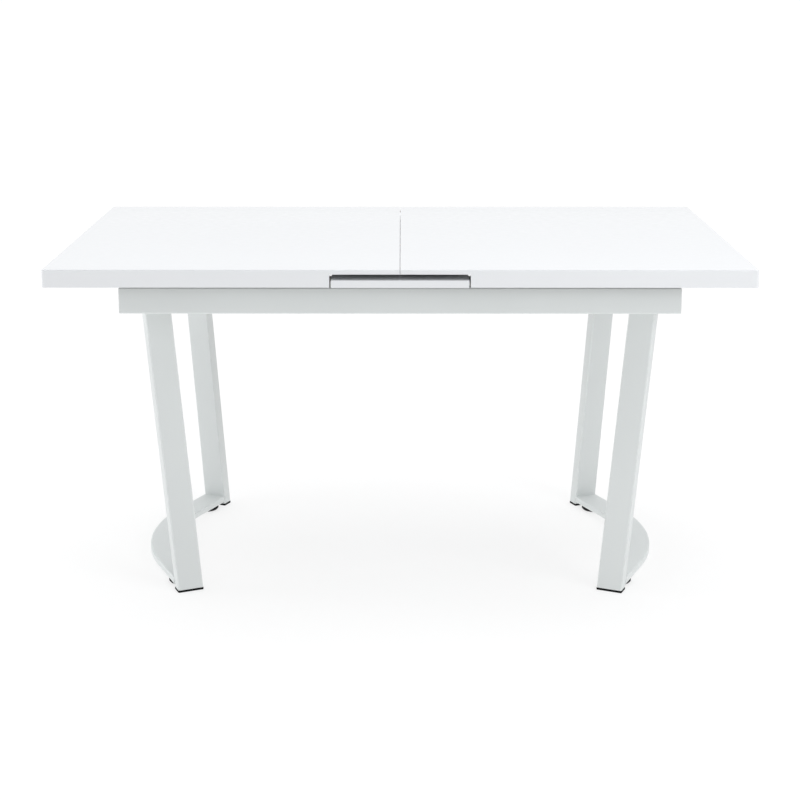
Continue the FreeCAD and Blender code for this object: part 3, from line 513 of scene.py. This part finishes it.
def soft_box(name, place, aim, width, height, power):
    lamp = add_lamp(name, "AREA", place, aim, power)
    lamp.shape = "RECTANGLE"
    lamp.size = width
    lamp.size_y = height
    lamp.color = BOX_TINT


overhead = add_lamp("overhead", "SUN", (0.0, 0.0, 5.0), (0.05, 0.0, 0.0), SUN_POWER)
overhead.angle = SUN_SPREAD
for box in SOFT_BOXES:
    soft_box(*box)

FLOOR_REACH = 60.0
FLOOR_LEVEL = -0.4 * MM
FLOOR_GLOW = 0.71
FLOOR_TONES = ((0.29,) * 3, (0.294,) * 3)

floor_mesh = bpy.data.meshes.new("studio_floor")
floor_mesh.from_pydata(
    [
        (x * FLOOR_REACH, y * FLOOR_REACH, FLOOR_LEVEL)
        for x, y in ((-1, -1), (1, -1), (1, 1), (-1, 1))
    ],
    [],
    [(0, 1, 2, 3)],
)
floor = bpy.data.objects.new("studio_floor", floor_mesh)
bpy.context.scene.collection.objects.link(floor)
paper = Recipe("white_paper")
paper.set(Roughness=0.9, Specular_IOR_Level=0.1)
paper.set(Emission_Color=(1.0, 1.0, 1.0, 1.0), Emission_Strength=FLOOR_GLOW)
paper_tones = list(zip((0.2, 0.8), FLOOR_TONES))
paper.colour(paper.ramp(paper.noise(0.7, 2.0), paper_tones))
floor_mesh.materials.append(paper.material)


# ---------------------------------------------------------------- CAD nodes, refined
EDGE_MM = {  # part of a node's name: width of its rounded edges
    "top_panel": 0.6,
    "leaf_panel": 0.5,
    "rail": 0.35,
    "leg_": 0.4,
    "base_bar": 0.4,
    "foot": 0.6,
    "glides": 0.8,
    "pinion": 0.15,
    "rack": 0.15,
    "channel": 0.2,
    "batten": 1.0,
    "pads": 0.4,
    "dowels": 0.6,
}
OTHER_EDGE_MM = 0.3


def edge_width(node):
    for key, width in EDGE_MM.items():
        if key in node:
            return width * MM
    return OTHER_EDGE_MM * MM


FASTENER_NODES = {"left_screws", "right_screws", "channel_rivets", "leg_bolts"}
skins = {}
for node in sorted(frame["nodes"]):
    if node not in FASTENER_NODES:
        skins[node] = refine(node, edge_width(node))

# The boards are lacquered on top and on their outer edges. The lower faces and the seam
# faces are dark grey sealed fibreboard; on the rim's lower face the dark grey is also
# painted shade, keeping the shade under the rim deep; the routed recess has a thin white
# coat.
NEAR_FACE = 1.0 * MM  # within this of the board's lowest level is its lower face
SEAM_BAND = 2.0 * MM  # within this of the middle is the seam
END_BAND = 5.0 * MM  # within this of the board's outer end is its end face
RIM_WIDTH = 39.0 * MM  # the uncut rim along the front and rear edges
SLAB_SHARE = 0.7  # the routed walls lie below this share of the thickness
for node in ("left_top_panel", "right_top_panel", "leaf_panel"):
    panel = skins[node].data
    panel.materials.append(SHADE_DARK_PRIMER)
    panel.materials.append(RECESS)
    shade_dark_seal, coated = len(panel.materials) - 2, len(panel.materials) - 1
    low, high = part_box(node)
    outer_end = max(abs(low.x), abs(high.x)) - END_BAND
    slab_low = low.z + SLAB_SHARE * (high.z - low.z)
    for face in panel.polygons:
        spot = face.center
        # The lowest faces take the dark grey (painted shade under the rim in part); faces
        # higher up in the recess take the white coat.
        if face.normal.z < -0.9:
            deep = node != "leaf_panel" and spot.z > low.z + NEAR_FACE
            face.material_index = coated if deep else shade_dark_seal
            continue
        if abs(face.normal.x) > 0.9 and abs(spot.x) < SEAM_BAND:
            face.material_index = shade_dark_seal
            continue
        wall = abs(face.normal.z) < 0.3 and low.z + NEAR_FACE < spot.z < slab_low
        inner = abs(spot.x) < outer_end and abs(spot.y) < high.y - RIM_WIDTH
        if wall and inner and node != "leaf_panel":
            face.material_index = coated
skins["leaf_panel"].data.materials[0] = LEAF_LACQUER


# ---------------------------------------------------------------- fasteners
HEAD_RINGS = 12
HEAD_SPOKES = 48
CROSS_ARM, CROSS_HALF, CROSS_DEPTH = 0.62, 0.2, 0.7  # of the head's radius and height
SCREW_HEAD = 2.0 * MM
RIVET_HEAD = 1.5 * MM
WASHER = 1.3 * MM
BOLT_HEAD = 4.0 * MM
BOLT_SEAT = 5.3 * MM  # washer and head together
HEAD_DISH = 0.25 * MM
HEAD_SHARP = math.radians(32.0)


def lid(form, spot, way, rim, rise):
    """A turned or stamped head on a polar grid.

    rim(angle) is the outline radius and rise(radius, angle) the height above
    the seat; way is +1 for a head that looks up and -1 for one that looks down.
    """
    rows = []
    for ring in range(1, HEAD_RINGS + 2):
        share = min(ring, HEAD_RINGS) / HEAD_RINGS
        row = []
        for spoke in range(HEAD_SPOKES):
            angle = 2 * math.pi * spoke / HEAD_SPOKES
            radius = rim(angle) * share
            height = rise(radius, angle) if ring <= HEAD_RINGS else 0.0
            x = spot[0] + radius * math.cos(angle)
            y = spot[1] + radius * math.sin(angle)
            row.append(form.verts.new((x, y, spot[2] + way * height)))
        rows.append(row)
    middle = form.verts.new((spot[0], spot[1], spot[2] + way * rise(0.0, 0.0)))
    for spoke in range(HEAD_SPOKES):
        after = (spoke + 1) % HEAD_SPOKES
        form.faces.new((middle, rows[0][spoke], rows[0][after]))
        for inner, outer in zip(rows, rows[1:]):
            form.faces.new((inner[spoke], outer[spoke], outer[after], inner[after]))
    form.faces.new(rows[-1])


def cross_recess(radius, angle, arm, half, depth):
    """Depth of a cruciform driver recess at a polar spot."""
    u = abs(radius * math.cos(angle))
    v = abs(radius * math.sin(angle))
    across = max(0.0, 1.0 - min(u, v) / half)
    along = max(0.0, min(1.0, (arm - max(u, v)) / (0.3 * arm)))
    return depth * min(1.0, 2.2 * across) * along


def pan_head(radius, height):
    def rise(r, angle):
        dome = height * math.sqrt(max(0.05, 1.0 - 0.8 * (r / radius) ** 2))
        arm, half = CROSS_ARM * radius, CROSS_HALF * radius
        return dome - cross_recess(r, angle, arm, half, CROSS_DEPTH * height)

    return (lambda angle: radius), rise


def hex_head(radius, height):
    flat = radius * math.cos(math.pi / 6)

    def rim(angle):
        return flat / math.cos(angle % (math.pi / 3) - math.pi / 6)

    def rise(r, angle):
        dish = HEAD_DISH if r < 0.55 * flat else 0.0
        return height - dish - max(0.0, r - 0.9 * flat) * 0.55

    return rim, rise


def dome_head(radius, height):
    def rise(r, angle):
        pip = 0.35 * height if r < 0.2 * radius else 0.0
        return height * math.sqrt(max(0.02, 1.0 - 0.97 * (r / radius) ** 2)) - pip

    return (lambda angle: radius), rise


def fasteners(node, way, seat, heads):
    """All heads of one node; heads(radius) lists (rim, rise, lift) to stack."""
    form = bmesh.new()
    for low, high in islands(node):
        radius = 0.5 * min(high.x - low.x, high.y - low.y)
        middle = 0.5 * (low + high)
        level = high.z - seat if way > 0 else low.z + seat
        for rim, rise, lift in heads(radius):
            lid(form, (middle.x, middle.y, level + way * lift), way, rim, rise)
    bmesh.ops.recalc_face_normals(form, faces=form.faces)
    mesh = bpy.data.meshes.new(node + "_heads")
    form.to_mesh(mesh)
    form.free()
    mesh.shade_smooth()
    mesh.set_sharp_from_angle(angle=HEAD_SHARP)
    piece = new_piece(node + "_heads", mesh, node)
    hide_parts(node)


def screw_stack(radius):
    return [(*pan_head(radius, SCREW_HEAD), 0.0)]


def rivet_stack(radius):
    return [(*dome_head(radius, RIVET_HEAD), 0.0)]


def bolt_stack(radius):
    washer = ((lambda angle: radius), (lambda r, angle: WASHER))
    return [(*washer, 0.0), (*hex_head(radius, BOLT_HEAD), WASHER)]


fasteners("left_screws", -1, SCREW_HEAD, screw_stack)
fasteners("right_screws", -1, SCREW_HEAD, screw_stack)
fasteners("channel_rivets", -1, RIVET_HEAD, rivet_stack)
fasteners("leg_bolts", 1, BOLT_SEAT, bolt_stack)


# ---------------------------------------------------------------- welds
BEAD_PITCH = 1.6 * MM  # from one ripple to the next
BEAD_SIDES = 10
BASE_WELD = 1.7 * MM
FRAME_WELD = 1.6 * MM
PLATE_WELD = 1.5 * MM
STITCH_HALF = 14 * MM
SEAT_STITCHES = 7
PLATE_STITCHES = 2


def bead(form, start, end, radius):
    """A rippled weld bead laid in a corner from start to end."""
    start, end = Vector(start), Vector(end)
    way = end - start
    count = max(4, int(way.length / BEAD_PITCH) * 3)
    axis = way.normalized()
    side = axis.orthogonal().normalized()
    over = axis.cross(side)
    rows = []
    for step in range(count + 1):
        share = step / count
        phase = (share * way.length / BEAD_PITCH) % 1.0
        taper = min(1.0, 5.0 * min(share, 1.0 - share) + 0.35)
        size = radius * taper * (0.82 + 0.18 * math.sqrt(phase))
        centre = start + way * share
        rows.append([
            form.verts.new(centre + size * (math.cos(a) * side + math.sin(a) * over))
            for a in (2 * math.pi * k / BEAD_SIDES for k in range(BEAD_SIDES))
        ])
    for one, other in zip(rows, rows[1:]):
        for k in range(BEAD_SIDES):
            after = (k + 1) % BEAD_SIDES
            form.faces.new((one[k], one[after], other[after], other[k]))
    form.faces.new(rows[0][::-1])
    form.faces.new(rows[-1])


def weld_piece(name, node_like, runs, radius):
    form = bmesh.new()
    for start, end in runs:
        bead(form, start, end, radius)
    bmesh.ops.recalc_face_normals(form, faces=form.faces)
    mesh = bpy.data.meshes.new(name)
    form.to_mesh(mesh)
    form.free()
    mesh.shade_smooth()
    new_piece(name, mesh, node_like)


def bar_end_runs(node):
    """Top and side lines of the bar's two ends, where they meet the legs."""
    mesh = frame["nodes"][node].data
    low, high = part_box(node)
    runs = []
    for way in (-1, 1):
        tips = {}
        for face in mesh.polygons:
            facing = face.normal.y * way
            if abs(face.normal.z) < 0.05 and 0.85 < facing < 0.95:
                if face.center.y * way > 0.6 * high.y:
                    for index in face.vertices:
                        spot = mesh.vertices[index].co
                        tips[(round(spot.x, 5), round(spot.y, 5))] = spot
        ordered = sorted(tips.values(), key=lambda spot: spot.x)
        if len(ordered) < 2:
            continue
        one, other = ordered[0], ordered[-1]
        top = high.z + 0.2 * MM
        span = Vector((other.x - one.x, other.y - one.y, 0.0))
        trim = span.normalized() * 1.0 * MM
        left = Vector((one.x, one.y, top)) + trim
        right = Vector((other.x, other.y, top)) - trim
        runs.append((left, right))
        for spot in (one, other):
            foot = Vector((spot.x, spot.y, low.z + 1.5 * MM))
            runs.append((foot, Vector((spot.x, spot.y, high.z - 1.5 * MM))))
    return runs


for side in ("left", "right"):
    node = side + "_base_bar"
    weld_piece(side + "_base_welds", node, bar_end_runs(node), BASE_WELD)


def cross_tube_runs(node):
    """Upright and top lines of a cross tube's two ends, on the rails."""
    low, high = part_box(node)
    runs = []
    for y in (low.y, high.y):
        for x in (low.x, high.x):
            runs.append(((x, y, low.z + 2 * MM), (x, y, high.z - 2 * MM)))
        runs.append(((low.x + 2 * MM, y, high.z), (high.x - 2 * MM, y, high.z)))
    return runs


def stitch_runs(node, end, on_top, count):
    """Short stitches spread evenly along the line where a node meets its rail."""
    low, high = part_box(node)
    y = low.y if end == "front" else high.y
    z = high.z if on_top else low.z
    runs = []
    for k in range(count):
        middle = low.x + (high.x - low.x) * (k + 0.5) / count
        runs.append(((middle - STITCH_HALF, y, z), (middle + STITCH_HALF, y, z)))
    return runs


for side in ("left", "right"):
    node = side + "_cross_tube"
    weld_piece(side + "_cross_welds", node, cross_tube_runs(node), FRAME_WELD)
for end in ("front", "rear"):
    node = end + "_seat_angle"
    runs = stitch_runs(node, end, False, SEAT_STITCHES)
    weld_piece(end + "_seat_welds", node, runs, FRAME_WELD)
    for side in ("left", "right"):
        node = "corner_plate_%s_%s" % (end, side)
        runs = stitch_runs(node, end, True, PLATE_STITCHES)
        weld_piece("plate_welds_%s_%s" % (end, side), node, runs, PLATE_WELD)
